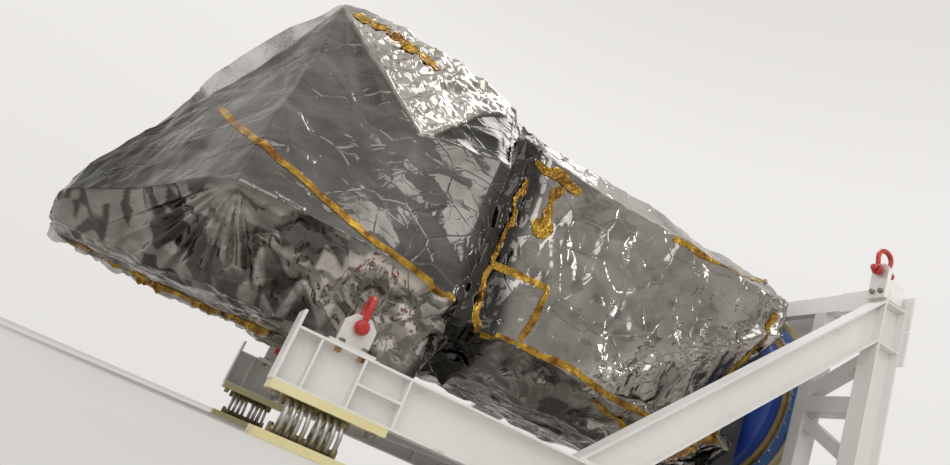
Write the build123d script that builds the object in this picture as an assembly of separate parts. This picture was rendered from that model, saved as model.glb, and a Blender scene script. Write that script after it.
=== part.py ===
from build123d import *
import os
from math import acos, atan2, cos, hypot, pi, sin, sqrt

# Satellite under a foil dust bag, carried nose first on an L-shaped handling frame.
# X runs aft from the nose, Y to the right-hand side, Z up from the floor.
# Stations are measured aft from the front ends of the two base rails.

# Base rails, an I section standing on edge
RAIL_SPACING = 2072.0
RAIL_DEPTH = 203.0
RAIL_WIDTH = 133.0
RAIL_FLANGE = 10.0
RAIL_WEB = 7.0
END_PLATE_T = 12.0
END_PLATE_RISE = 60.0
STIFFENER_T = 9.0
FRONT_STIFFENERS = (105.0, 283.0, 471.0)
STRUT_STIFFENERS = (-69.0, 135.0, 485.0)
REAR_STIFFENER_SETBACK = 295.0
STIFFENER_SETBACK = 2.0
COPE_CLEARANCE = 6.0
TONGUE_LAP = 5.0

# Uprights at the aft end, and the struts that prop them
COLUMN_FRONT = 2661.0
COLUMN_DEPTH = 152.0
COLUMN_WIDTH = 102.0
COLUMN_FLANGE = 10.0
COLUMN_WEB = 7.0
BRACE_DEPTH = 165.0
BRACE_WIDTH = 102.0
BRACE_HEAD_DROP = 191.0
BRACE_FOOT_T = 12.7
BRACE_FOOT_MARGIN = 16.0
BRACE_FOOT_SIDE_MARGIN = 6.0
REAR_FOOT_T = 12.0
REAR_FOOT_WIDTH = 160.0
REAR_FOOT_LENGTH = 387.0
REAR_FOOT_HOLE_R = 8.75
REAR_FOOT_HOLE_INSET = 14.0

# Cross members
FRONT_BEAM_STATION = 376.0
MIDDLE_BEAM_OFFSET = 305.0
FRONT_DIAGONAL_STATION = 707.0
FRONT_DIAGONAL_GAP = 18.0
REAR_DIAGONAL_SETBACK = 71.0
REAR_DIAGONAL_GAP = 62.0
DIAGONAL_SIZE = 76.0
TUBE_WALL = 6.35
TOP_BEAM_HEIGHT = 102.0
TOP_BEAM_CLEARANCE = 1.0
POST_DEPTH = 102.0
GUSSET_T = 10.0
GUSSET_LENGTH = 190.0
GUSSET_HEIGHT = 115.0
POST_CLEARANCE = 14.0
POST_WIDTH = 76.0
SIDE_BEAM_HEIGHT = 85.0
SIDE_BEAM_DROP = 25.5
KNEE_SIZE = 64.0
KNEE_POST_RISE = 95.0
KNEE_COLUMN_RISE = 290.0

# Ring stack that holds the satellite by its aft end
RING_HEADROOM = 7.0
RING_PLATE_T = 12.7
RING_PLATE_BORE_CLEARANCE = 5.0
RING_PLATE_MARGIN = 27.0
RING_PLATE_CHAMFER = 200.0
RING_INNER_R = 450.0
CREAM_R = 613.0
CREAM_T = 26.0
LIGHT_BLUE_R = 588.0
LIGHT_BLUE_T = 25.0
BAND_R = 512.0
BAND_T = 16.0
ADAPTER_R = 495.0
ADAPTER_T = 62.0
ADAPTER_CONE_LENGTH = 78.0
ADAPTER_NECK_R = 340.0
ADAPTER_WALL = 30.0

# Satellite inside the bag, as two plain blocks, from the adapter's neck and the ring axis
BUS_START = -1866.0
BUS_HALF_WIDTH = 400.0
BUS_LOW = -510.0
BUS_HIGH = 410.0
MODULE_START = -2916.0
MODULE_HALF_WIDTH = 260.0
MODULE_LOW = -590.0
MODULE_HIGH = 330.0

# Foil bag, from the same two: how far forward, then half width and height of the bottom,
# the waist, the shoulder and the top. Its lowest point sets the ring axis above the rails.
BAG_CLEARANCE = 57.0
BAG_FORWARD_SECTIONS = (
    (-3641.0, (180.0, -790.0), (250.0, -670.0), (200.0, -560.0), (110.0, -520.0)),
    (-2996.0, (420.0, -810.0), (850.0, -430.0), (330.0, 630.0), (60.0, 970.0)),
    (-2416.0, (600.0, -780.0), (900.0, -430.0), (640.0, 260.0), (330.0, 890.0)),
    (-1946.0, (620.0, -770.0), (880.0, -470.0), (760.0, 280.0), (400.0, 790.0)),
)
BAG_AFT_SECTIONS = (
    (-1946.0, (430.0, -650.0), (640.0, -470.0), (640.0, 490.0), (440.0, 670.0)),
    (-126.0, (430.0, -630.0), (620.0, -450.0), (620.0, 470.0), (430.0, 630.0)),
    (-6.0, (330.0, -450.0), (450.0, -310.0), (450.0, 310.0), (330.0, 430.0)),
)

# Wire rope isolators under the rails' ends
UPPER_PLATE = (455.0, 150.0, 32.0)
LOWER_PLATE = (368.0, 176.0, 32.0)
UPPER_PLATE_STATION = 232.0
ISOLATOR_STATION = 202.0
ISOLATOR_HEIGHT = 133.0
ISOLATOR_BAR = (267.0, 32.0, 25.0)
ROPE_R = 9.0
ROPE_SIDES = 6
ROPE_LEGS = 5
ROPE_PITCH = 28.0
ROPE_TURNS = 4
ROPE_GROUP_SPACING = 126.0
FLOOR_HOLE_R = 8.75
FLOOR_HOLE_SPACING = 320.0

# Lifting lugs and one inch shackles
LUG_T = 25.4
LUG_WIDTH = 130.0
LUG_PIN_RISE = 91.0
LUG_CHAMFER = 34.0
LUG_EAR_MARGIN = 16.0
LUG_BASE = (190.0, 104.0, 12.7)
FRONT_LUG_STATION = 219.0
REAR_LUG_STRUT_CLEARANCE = 9.0
REAR_LUG_GUSSET_T = 12.7
REAR_LUG_GUSSET_CLEARANCE = 2.0
REAR_LUG_GUSSET_LENGTH = 106.0
REAR_LUG_GUSSET_RISE = 45.0
SHACKLE_PIN_R = 14.3
SHACKLE_ROD_R = 12.7
SHACKLE_ROD_SIDES = 12
SHACKLE_CROWN_LEGS = 10
SHACKLE_JAW = 43.0
SHACKLE_EAR_R = 30.0
SHACKLE_EAR_T = 30.0
SHACKLE_BOW_INNER_R = 34.0
SHACKLE_INSIDE = 110.0
PIN_RUNNING_GAP = 0.4
PIN_SEAT_GAP = 0.1
PIN_HEAD_R = 24.0
PIN_HEAD_T = 18.0
PIN_NUT_R = 22.0
PIN_NUT_T = 20.0

# Levels and stations that follow from the sizes above
RAIL_Y = RAIL_SPACING / 2
RAIL_BOTTOM = LOWER_PLATE[2] + ISOLATOR_HEIGHT + UPPER_PLATE[2]
RAIL_TOP = RAIL_BOTTOM + RAIL_DEPTH
BAG_LOWEST = min(height for row in BAG_FORWARD_SECTIONS + BAG_AFT_SECTIONS
                 for half_width, height in row[1:])
RING_Z = RAIL_TOP + BAG_CLEARANCE - BAG_LOWEST
COLUMN_TOP = RING_Z + CREAM_R + RING_HEADROOM
COLUMN_AFT = COLUMN_FRONT + COLUMN_DEPTH
COLUMN_MID = COLUMN_FRONT + COLUMN_DEPTH / 2
FEET_STATION = COLUMN_AFT + REAR_FOOT_T
INSIDE_FRONT = COLUMN_FRONT + COLUMN_FLANGE
INSIDE_AFT = INSIDE_FRONT + POST_DEPTH
COLUMN_WEB_FACE = RAIL_Y - COLUMN_WEB / 2
COLUMN_EDGE = RAIL_Y - COLUMN_WIDTH / 2
BRACE_HALF_CUT = BRACE_DEPTH / sqrt(2)
BRACE_AXIS_STATION = COLUMN_FRONT + RAIL_TOP - (COLUMN_TOP - BRACE_HEAD_DROP)
MIDDLE_BEAM_STATION = BRACE_AXIS_STATION + MIDDLE_BEAM_OFFSET
TOP_BEAM_DEPTH = POST_DEPTH - CREAM_T - LIGHT_BLUE_T - TOP_BEAM_CLEARANCE
POST_INNER = CREAM_R + POST_CLEARANCE
POST_OUTER = POST_INNER + POST_WIDTH
NECK_STATION = (INSIDE_AFT - CREAM_T - LIGHT_BLUE_T - BAND_T - ADAPTER_T
                - ADAPTER_CONE_LENGTH)
NOSE_STATION = NECK_STATION + BAG_FORWARD_SECTIONS[0][0]
SIDES = {"left": -1, "right": 1}

# The row's origin is on the floor, midway between the nose and the rear feet
ORIGIN_STATION = (NOSE_STATION + FEET_STATION) / 2


def save(name, *solids):
    """Move the solids from stations to the row's frame and write one file."""
    placed = [Pos(-ORIGIN_STATION, 0, 0) * solid for solid in solids]
    export_step(placed[0] if len(placed) == 1 else Compound(placed), f"parts/{name}.step")


def block(x, y, z):
    """A box between two limits on each axis."""
    size = (abs(x[1] - x[0]), abs(y[1] - y[0]), abs(z[1] - z[0]))
    centre = (sum(x) / 2, sum(y) / 2, sum(z) / 2)
    return Pos(*centre) * Box(*size)


def i_section(depth, width, flange, web):
    """An I outline, its depth along the sketch's Y."""
    outline = Rectangle(width, depth)
    recess = ((width - web) / 2, depth - 2 * flange)
    for side in (-1, 1):
        outline -= Pos(side * (width + web) / 4, 0) * Rectangle(*recess)
    return outline


def tube_section(width, depth):
    """A hollow rectangle with the frame's usual wall."""
    return Rectangle(width, depth) - Rectangle(width - 2 * TUBE_WALL, depth - 2 * TUBE_WALL)


def beam(section, start, end, width_dir):
    """The section extruded from start to end, its width along width_dir."""
    start, end = Vector(*start), Vector(*end)
    plane = Plane(origin=start, x_dir=width_dir, z_dir=end - start)
    return extrude(plane * section, (end - start).length)


def rail(side):
    """A base rail with its web stiffeners and the shelves between them."""
    y, mid_z = side * RAIL_Y, RAIL_BOTTOM + RAIL_DEPTH / 2
    section = i_section(RAIL_DEPTH, RAIL_WIDTH, RAIL_FLANGE, RAIL_WEB)
    solid = beam(section, (END_PLATE_T, y, mid_z), (COLUMN_FRONT, y, mid_z), (0, 1, 0))
    inside = (RAIL_BOTTOM + RAIL_FLANGE, RAIL_TOP - RAIL_FLANGE)
    reach = RAIL_WIDTH / 2 - STIFFENER_SETBACK
    across = (y - reach, y + reach)
    stations = [*FRONT_STIFFENERS, *(BRACE_AXIS_STATION + step for step in STRUT_STIFFENERS),
                COLUMN_FRONT - REAR_STIFFENER_SETBACK]
    for station in stations:
        solid += block((station - STIFFENER_T / 2, station + STIFFENER_T / 2), across, inside)
    outer = sorted((y, y + side * reach))
    for bay in (stations[1:3], stations[4:6]):
        solid += block(bay, outer, (mid_z - STIFFENER_T / 2, mid_z + STIFFENER_T / 2))
    return solid


def end_plate(side):
    """The upstand welded across a rail's front end."""
    y = side * RAIL_Y
    return block((0, END_PLATE_T), (y - RAIL_WIDTH / 2, y + RAIL_WIDTH / 2),
                 (RAIL_BOTTOM, RAIL_TOP + END_PLATE_RISE))


def cross_beam(station, reach, web_reach):
    """An I beam across the frame, coped so that only its web goes between flanges."""
    mid_z = RAIL_BOTTOM + RAIL_DEPTH / 2
    section = i_section(RAIL_DEPTH, RAIL_WIDTH, RAIL_FLANGE, RAIL_WEB)
    solid = beam(section, (station, -reach, mid_z), (station, reach, mid_z), (1, 0, 0))
    cope = RAIL_FLANGE + COPE_CLEARANCE
    web_z = (RAIL_BOTTOM + cope, RAIL_TOP - cope)
    for side in (-1, 1):
        tongue = sorted((side * (reach - TONGUE_LAP), side * web_reach))
        solid += block((station - RAIL_WEB / 2, station + RAIL_WEB / 2), tongue, web_z)
    return solid


def column(side):
    """An upright with stiffeners level with the rail's and the strut's flanges."""
    y = side * RAIL_Y
    section = i_section(COLUMN_DEPTH, COLUMN_WIDTH, COLUMN_FLANGE, COLUMN_WEB)
    solid = beam(section, (COLUMN_MID, y, RAIL_BOTTOM), (COLUMN_MID, y, COLUMN_TOP), (0, 1, 0))
    inside = (COLUMN_FRONT + COLUMN_FLANGE, COLUMN_AFT - COLUMN_FLANGE)
    strut_z = COLUMN_TOP - BRACE_HEAD_DROP
    levels = (RAIL_BOTTOM + RAIL_FLANGE / 2, strut_z - BRACE_HALF_CUT, strut_z + BRACE_HALF_CUT)
    reach = COLUMN_WIDTH / 2 - STIFFENER_SETBACK
    outer = sorted((y + side * COLUMN_WEB / 2, y + side * reach))
    for level in levels:
        solid += block(inside, outer, (level - STIFFENER_T / 2, level + STIFFENER_T / 2))
    return solid


def brace_height(station):
    """Height of the strut's axis at a station: it rises at 45 degrees."""
    return RAIL_TOP + station - BRACE_AXIS_STATION


def brace(side):
    """The 45 degree strut and its foot, from the rail's top to the upright's front."""
    y = side * RAIL_Y
    section = i_section(BRACE_DEPTH, BRACE_WIDTH, COLUMN_FLANGE, COLUMN_WEB)
    first, last = BRACE_AXIS_STATION - BRACE_DEPTH, COLUMN_FRONT + BRACE_DEPTH
    start, end = (first, y, brace_height(first)), (last, y, brace_height(last))
    reach = (y - BRACE_WIDTH, y + BRACE_WIDTH)
    window = block((first, COLUMN_FRONT), reach, (RAIL_TOP + BRACE_FOOT_T, COLUMN_TOP))
    solid = beam(section, start, end, (0, 1, 0)) & window
    half = BRACE_HALF_CUT + BRACE_FOOT_MARGIN
    foot_x = (BRACE_AXIS_STATION + BRACE_FOOT_T - half, BRACE_AXIS_STATION + BRACE_FOOT_T + half)
    half_width = BRACE_WIDTH / 2 + BRACE_FOOT_SIDE_MARGIN
    foot_y = (y - half_width, y + half_width)
    return solid + block(foot_x, foot_y, (RAIL_TOP, RAIL_TOP + BRACE_FOOT_T))


def rear_feet():
    """Pads on the uprights' aft faces, on which the frame stands when it is on end."""
    pads = []
    hole_y = REAR_FOOT_WIDTH / 2 - REAR_FOOT_HOLE_INSET
    low = RAIL_BOTTOM + REAR_FOOT_LENGTH / 2
    high = COLUMN_TOP + REAR_FOOT_T - REAR_FOOT_LENGTH / 2
    for side in (-1, 1):
        for level in (low, high):
            pad = Box(REAR_FOOT_T, REAR_FOOT_WIDTH, REAR_FOOT_LENGTH)
            for y in (-hole_y, hole_y):
                pad -= Pos(0, y, 0) * Rot(0, 90, 0) * Cylinder(REAR_FOOT_HOLE_R, 2 * REAR_FOOT_T)
            pads.append(Pos(COLUMN_AFT + REAR_FOOT_T / 2, side * RAIL_Y, level) * pad)
    return pads


def base_diagonals(rail_station, beam_face, gap):
    """A mirrored pair of square tubes from the rails' webs to the middle beam's, where
    each stays the gap away from the centre plane."""
    web_face, mid_z = RAIL_Y - RAIL_WEB / 2, RAIL_BOTTOM + RAIL_DEPTH / 2
    run = abs(beam_face - rail_station)
    spread = gap + DIAGONAL_SIZE / 2 * hypot(run, web_face - gap) / run
    section = tube_section(DIAGONAL_SIZE, DIAGONAL_SIZE)
    pair = []
    for side in (-1, 1):
        start = Vector(rail_station, side * web_face, mid_z)
        end = Vector(beam_face, side * spread, mid_z)
        step = (end - start).normalized() * 2 * DIAGONAL_SIZE
        tube = beam(section, tuple(start - step), tuple(end + step), (0, 0, 1))
        span_x = sorted((rail_station - step.X, beam_face))
        span_y = sorted((side * web_face, end.Y + step.Y))
        pair.append(tube & block(span_x, span_y, (RAIL_BOTTOM, RAIL_TOP)))
    return pair


def top_beam():
    """The tube between the uprights' webs, level with their tops."""
    section = tube_section(TOP_BEAM_DEPTH, TOP_BEAM_HEIGHT)
    x, z = INSIDE_FRONT + TOP_BEAM_DEPTH / 2, COLUMN_TOP - TOP_BEAM_HEIGHT / 2
    return beam(section, (x, -COLUMN_WEB_FACE, z), (x, COLUMN_WEB_FACE, z), (1, 0, 0))


def top_gussets():
    """Plates that lap the top beam beside each upright's front flange."""
    plates = []
    for side in (-1, 1):
        y = sorted((side * COLUMN_EDGE, side * (COLUMN_EDGE - GUSSET_LENGTH)))
        plates.append(block((INSIDE_FRONT - GUSSET_T, INSIDE_FRONT), y,
                            (COLUMN_TOP - GUSSET_HEIGHT, COLUMN_TOP)))
    return plates


def inner_posts():
    """Posts that flank the rings, from the rear cross beam to the top beam."""
    section = tube_section(POST_WIDTH, POST_DEPTH)
    x = INSIDE_FRONT + POST_DEPTH / 2
    posts = []
    for side in (-1, 1):
        y = side * (POST_INNER + POST_WIDTH / 2)
        top = COLUMN_TOP - TOP_BEAM_HEIGHT
        posts.append(beam(section, (x, y, RAIL_TOP), (x, y, top), (0, 1, 0)))
    return posts


def side_beams():
    """Short tubes at ring height between each post and upright."""
    section = tube_section(POST_DEPTH, SIDE_BEAM_HEIGHT)
    x, z = INSIDE_FRONT + POST_DEPTH / 2, RING_Z - SIDE_BEAM_DROP
    return [beam(section, (x, side * POST_OUTER, z), (x, side * COLUMN_WEB_FACE, z), (1, 0, 0))
            for side in (-1, 1)]


def knee_braces():
    """Four slanted tubes that fan from the posts to the uprights."""
    middle = RING_Z - SIDE_BEAM_DROP
    x = INSIDE_FRONT + POST_DEPTH / 2
    section = tube_section(KNEE_SIZE, KNEE_SIZE)
    knees = []
    for side in (-1, 1):
        for up in (-1, 1):
            inner = Vector(x, side * POST_OUTER, middle + up * KNEE_POST_RISE)
            outer = Vector(x, side * COLUMN_WEB_FACE, middle + up * KNEE_COLUMN_RISE)
            step = (outer - inner).normalized() * KNEE_SIZE
            tube = beam(section, tuple(inner - step), tuple(outer + step), (1, 0, 0))
            bay = sorted((side * POST_OUTER, side * COLUMN_WEB_FACE))
            knees.append(tube & block((x - KNEE_SIZE, x + KNEE_SIZE), bay,
                                      (RAIL_BOTTOM, COLUMN_TOP)))
    return knees


def ring_plate():
    """The plate behind the rings, bored through, on the posts and the top beam."""
    low, high = RING_Z - CREAM_R - RING_PLATE_MARGIN, COLUMN_TOP
    plane = Plane(origin=(INSIDE_AFT, 0, 0), x_dir=(0, 1, 0), z_dir=(1, 0, 0))
    edge, cut = POST_OUTER, RING_PLATE_CHAMFER
    outline = Polygon((edge, high), (-edge, high), (-edge, low + cut), (-edge + cut, low),
                      (edge - cut, low), (edge, low + cut), align=None)
    outline -= Pos(0, RING_Z) * Circle(RING_INNER_R + RING_PLATE_BORE_CLEARANCE)
    return extrude(plane * outline, RING_PLATE_T)


def ring(outer_r, inner_r, front, aft):
    """A flat ring about the satellite's axis."""
    plane = Plane(origin=(front, 0, RING_Z), x_dir=(0, 1, 0), z_dir=(1, 0, 0))
    return extrude(plane * (Circle(outer_r) - Circle(inner_r)), aft - front)


def adapter(aft):
    """The dark blue adapter: a short drum whose front narrows to a neck."""
    front, neck = aft - ADAPTER_T, NECK_STATION
    outside = ((neck, ADAPTER_NECK_R), (front, ADAPTER_R), (aft, ADAPTER_R))
    inside = ((aft, RING_INNER_R), (front, RING_INNER_R),
              (neck, ADAPTER_NECK_R - ADAPTER_WALL))
    outline = Plane.XZ * Polygon(*outside, *inside, align=None)
    return Pos(0, 0, RING_Z) * revolve(outline, Axis.X)


def bag_section(row):
    """The corners of one closed outline of the bag, from a row of the section tables."""
    station, corners = NECK_STATION + row[0], row[1:]
    right = [Vector(station, y, RING_Z + z) for y, z in corners]
    left = [Vector(station, -y, RING_Z + z) for y, z in reversed(corners)]
    return right + left


def bag(sections, *contents):
    """Flat facets from section to section, around what the bag covers."""
    outlines = [bag_section(row) for row in sections]
    corner_count = len(outlines[0])
    faces = [Face(Wire.make_polygon(outlines[end])) for end in (0, -1)]
    for here, there in zip(outlines, outlines[1:]):
        for i in range(corner_count):
            j = (i + 1) % corner_count
            if here[i].Y < 0 or here[j].Y < 0:
                corners = ((here[i], here[j], there[i]), (here[j], there[j], there[i]))
            else:
                corners = ((here[i], here[j], there[j]), (here[i], there[j], there[i]))
            faces += [Face(Wire.make_polygon(triple)) for triple in corners]
    solid = Solid(Shell(faces))
    for item in contents:
        solid -= item
    return solid


def upper_plates():
    """Plates bolted under the rails' ends, on top of the isolators."""
    length, width, thick = UPPER_PLATE
    return [Pos(x, side * RAIL_Y, RAIL_BOTTOM - thick / 2) * Box(length, width, thick)
            for side in (-1, 1) for x in (UPPER_PLATE_STATION, FEET_STATION - UPPER_PLATE_STATION)]


def isolator_places():
    """Stations and sides of the four isolators."""
    return [(x, side * RAIL_Y) for side in (-1, 1)
            for x in (ISOLATOR_STATION, FEET_STATION - ISOLATOR_STATION)]


def lower_plates():
    """Floor plates, each with two bolt holes that tie the frame down."""
    length, width, thick = LOWER_PLATE
    plate = Box(length, width, thick)
    for x in (-FLOOR_HOLE_SPACING / 2, FLOOR_HOLE_SPACING / 2):
        plate -= Pos(x, 0, 0) * Cylinder(FLOOR_HOLE_R, 2 * thick)
    return [Pos(x, y, thick / 2) * plate for x, y in isolator_places()]


def rope_turn_stations():
    """Local stations where each group's rope first crosses the upper bar."""
    span = ROPE_PITCH * (ROPE_TURNS - 0.5)
    return [group * ROPE_GROUP_SPACING / 2 - span / 2 for group in (-1, 1)]


def half_turn(start, end, way):
    """Corners of a half circle from one bar to the other, which leaves both squarely."""
    middle, along = (start + end) * 0.5, (end - start) * 0.5
    out = Vector(0, way * along.length, 0)
    half_leg = pi / (2 * ROPE_LEGS)
    corners = []
    for leg in range(ROPE_LEGS):
        angle = (2 * leg + 1) * half_leg
        corners.append(middle + (out * sin(angle) - along * cos(angle)) * (1 / cos(half_leg)))
    return corners


def rope_coil(first):
    """One group of turns: straight through the bars, half circles between them, with
    one half circle more on the outer side than on the inner."""
    half, step = ISOLATOR_BAR[1] / 2, ROPE_PITCH / 2
    top, low = ISOLATOR_HEIGHT - ISOLATOR_BAR[2] / 2, ISOLATOR_BAR[2] / 2
    route = [Vector(first, half, top)]
    for turn in range(2 * ROPE_TURNS - 1):
        x = first + turn * step
        here, there, way = (top, low, -1) if turn % 2 == 0 else (low, top, 1)
        route += half_turn(Vector(x, way * half, here), Vector(x + step, way * half, there), way)
    route.append(Vector(x + step, half, low))
    start = Plane(origin=route[0], x_dir=(1, 0, 0), z_dir=route[1] - route[0])
    section = start * RegularPolygon(ROPE_R, ROPE_SIDES)
    return sweep(section, path=Polyline(*route), transition=Transition.RIGHT)


def isolator_bars(coils):
    """Clamp bars above and below the coils, moulded round the rope's straight runs."""
    bars = []
    for level in (ISOLATOR_BAR[2] / 2, ISOLATOR_HEIGHT - ISOLATOR_BAR[2] / 2):
        bar = Pos(0, 0, level) * Box(*ISOLATOR_BAR)
        for coil in coils:
            bar -= coil
        bars.append(bar)
    return bars


def front_lug():
    """An upright plate on a bolted base, its pin hole at the local origin."""
    half, rise = LUG_WIDTH / 2, LUG_PIN_RISE - LUG_BASE[2]
    top, cut = SHACKLE_EAR_R + LUG_EAR_MARGIN, LUG_CHAMFER
    outline = Polygon((-half, -rise), (half, -rise), (half, top - cut), (half - cut, top),
                      (-half + cut, top), (-half, top - cut), align=None)
    outline -= Circle(SHACKLE_PIN_R + PIN_RUNNING_GAP)
    plate = extrude(Plane.XZ * outline, LUG_T / 2, both=True)
    return plate + Pos(0, 0, -LUG_PIN_RISE + LUG_BASE[2] / 2) * Box(*LUG_BASE)


def rear_lug(side):
    """A plate bolted to the upright's front flange, with a side gusset behind it."""
    half, top = COLUMN_WIDTH / 2, SHACKLE_EAR_R + LUG_EAR_MARGIN
    strut_drop = BRACE_HEAD_DROP - BRACE_HALF_CUT
    low = -LUG_PIN_RISE - strut_drop + REAR_LUG_STRUT_CLEARANCE
    gusset_low = -LUG_PIN_RISE - strut_drop + STIFFENER_T / 2 + REAR_LUG_GUSSET_CLEARANCE
    outline = Polygon((-half, low), (half, low), (half, top - LUG_CHAMFER),
                      (half - LUG_CHAMFER, top), (-half + LUG_CHAMFER, top),
                      (-half, top - LUG_CHAMFER), align=None)
    outline -= Circle(SHACKLE_PIN_R + PIN_RUNNING_GAP)
    plane = Plane(origin=(-LUG_T / 2, 0, 0), x_dir=(0, 1, 0), z_dir=(1, 0, 0))
    plate = extrude(plane * outline, LUG_T)
    back = LUG_T / 2
    y = sorted((side * half, side * (half - REAR_LUG_GUSSET_T)))
    upper = block((back, back + REAR_LUG_GUSSET_LENGTH), y,
                  (-LUG_PIN_RISE, -LUG_PIN_RISE + REAR_LUG_GUSSET_RISE))
    lower = block((back + COLUMN_FLANGE, back + REAR_LUG_GUSSET_LENGTH), y,
                  (gusset_low, -LUG_PIN_RISE))
    return plate + upper + lower


def shackle_bow():
    """A forged bow: straight legs from the ears run tangent into a round crown."""
    leg = SHACKLE_JAW / 2 + SHACKLE_ROD_R
    crown_r = SHACKLE_BOW_INNER_R + SHACKLE_ROD_R
    centre = SHACKLE_INSIDE - SHACKLE_BOW_INNER_R
    touch = atan2(-centre, leg) + acos(crown_r / hypot(leg, centre))
    half_leg = (pi / 2 - touch) / SHACKLE_CROWN_LEGS
    corner_r = crown_r / cos(half_leg)
    angles = [touch + (2 * i + 1) * half_leg for i in range(SHACKLE_CROWN_LEGS)]
    crown = [Vector(0, corner_r * cos(a), centre + corner_r * sin(a)) for a in angles]
    ears = [Vector(0, side * leg, 0) for side in (1, -1)]
    start = Plane(origin=ears[0], x_dir=(1, 0, 0), z_dir=crown[0] - ears[0])
    section = start * RegularPolygon(SHACKLE_ROD_R, SHACKLE_ROD_SIDES)
    route = Polyline(ears[0], *crown, ears[1])
    bow = sweep(section, path=route, transition=Transition.RIGHT)
    for side in (-1, 1):
        ear = Rot(90, 0, 0) * Cylinder(SHACKLE_EAR_R, SHACKLE_EAR_T)
        bow += Pos(0, side * (SHACKLE_JAW + SHACKLE_EAR_T) / 2, 0) * ear
    jaw = block((-SHACKLE_EAR_R, SHACKLE_EAR_R), (-SHACKLE_JAW / 2, SHACKLE_JAW / 2),
                (-SHACKLE_EAR_R, SHACKLE_EAR_R))
    bore = Rot(90, 0, 0) * Cylinder(SHACKLE_PIN_R + PIN_SEAT_GAP, 4 * leg)
    return bow - jaw - bore


def shackle_pin():
    """A bolt through both ears, with its head and nut outside them."""
    outside = SHACKLE_JAW / 2 + SHACKLE_EAR_T
    pin = Rot(90, 0, 0) * Cylinder(SHACKLE_PIN_R, 2 * outside)
    for side, radius, thick in ((-1, PIN_HEAD_R, PIN_HEAD_T), (1, PIN_NUT_R, PIN_NUT_T)):
        plane = Plane(origin=(0, side * outside, 0), x_dir=(1, 0, 0), z_dir=(0, side, 0))
        pin += extrude(plane * RegularPolygon(radius, 6), thick)
    return pin


def write_frame():
    """Base rails, uprights, struts and everything that ties them together."""
    for name, side in SIDES.items():
        save(f"{name}_rail", rail(side))
        save(f"{name}_column", column(side))
        save(f"{name}_brace", brace(side))
    save("rail_end_plates", end_plate(-1), end_plate(1))
    rail_edge, web_face = RAIL_Y - RAIL_WIDTH / 2, RAIL_Y - RAIL_WEB / 2
    save("front_cross_beam", cross_beam(FRONT_BEAM_STATION, rail_edge, web_face))
    save("middle_cross_beam", cross_beam(MIDDLE_BEAM_STATION, rail_edge, web_face))
    save("rear_cross_beam", cross_beam(COLUMN_MID, COLUMN_EDGE, COLUMN_WEB_FACE))
    faces = [MIDDLE_BEAM_STATION + way * RAIL_WEB / 2 for way in (-1, 1)]
    front, rear = FRONT_DIAGONAL_STATION, COLUMN_FRONT - REAR_DIAGONAL_SETBACK
    save("front_diagonals", *base_diagonals(front, faces[0], FRONT_DIAGONAL_GAP))
    save("rear_diagonals", *base_diagonals(rear, faces[1], REAR_DIAGONAL_GAP))
    save("top_cross_beam", top_beam())
    save("top_beam_gussets", *top_gussets())
    save("inner_posts", *inner_posts())
    save("side_beams", *side_beams())
    save("knee_braces", *knee_braces())
    save("ring_plate", ring_plate())
    save("rear_feet", *rear_feet())


def write_satellite():
    """Rings and adapter from the plate forward, then the satellite and its bag."""
    face = INSIDE_AFT
    stack = (("cream_ring", CREAM_R, CREAM_T), ("light_blue_ring", LIGHT_BLUE_R, LIGHT_BLUE_T),
             ("clamp_band", BAND_R, BAND_T))
    for name, outer_r, thick in stack:
        save(name, ring(outer_r, RING_INNER_R, face - thick, face))
        face -= thick
    save("adapter_cone", adapter(face))
    waist, nose = NECK_STATION + BUS_START, NECK_STATION + MODULE_START
    bus = block((waist, NECK_STATION), (-BUS_HALF_WIDTH, BUS_HALF_WIDTH),
                (RING_Z + BUS_LOW, RING_Z + BUS_HIGH))
    module = block((nose, waist), (-MODULE_HALF_WIDTH, MODULE_HALF_WIDTH),
                   (RING_Z + MODULE_LOW, RING_Z + MODULE_HIGH))
    save("spacecraft_bus", bus)
    save("payload_module", module)
    save("bag_forward", bag(BAG_FORWARD_SECTIONS, module))
    save("bag_aft", bag(BAG_AFT_SECTIONS, bus, module))


def write_isolators():
    """Four wire rope isolators between their upper and lower plates."""
    save("isolator_upper_plates", *upper_plates())
    save("isolator_lower_plates", *lower_plates())
    lift = LOWER_PLATE[2]
    coils = [rope_coil(first) for first in rope_turn_stations()]
    bars = isolator_bars(coils)
    places = isolator_places()
    save("isolator_ropes", *(Pos(x, y, lift) * coil for x, y in places for coil in coils))
    save("isolator_bars", *(Pos(x, y, lift) * bar for x, y in places for bar in bars))


def write_lifting_gear():
    """Lugs, and a shackle on each: pins run across at the front, fore and aft behind."""
    bow, pin = shackle_bow(), shackle_pin()
    for name, side in SIDES.items():
        place = Pos(FRONT_LUG_STATION, side * RAIL_Y, RAIL_TOP + LUG_PIN_RISE)
        save(f"front_{name}_lug", place * front_lug())
        turn = Rot(0, 0, 0 if side < 0 else 180)
        save(f"front_{name}_shackle_bow", place * turn * bow)
        save(f"front_{name}_shackle_pin", place * turn * pin)
        place = Pos(COLUMN_FRONT - LUG_T / 2, side * RAIL_Y, COLUMN_TOP + LUG_PIN_RISE)
        save(f"rear_{name}_lug", place * rear_lug(side))
        turn = Rot(0, 0, 90)
        save(f"rear_{name}_shackle_bow", place * turn * bow)
        save(f"rear_{name}_shackle_pin", place * turn * pin)


os.makedirs("parts", exist_ok=True)
write_frame()
write_satellite()
write_isolators()
write_lifting_gear()
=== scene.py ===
from itertools import product
from math import acos, atan2, cos, hypot, pi, radians, sin, sqrt

import bpy
import numpy as np
from mathutils import Matrix, Vector
from mathutils.bvhtree import BVHTree
from mathutils.kdtree import KDTree


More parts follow.
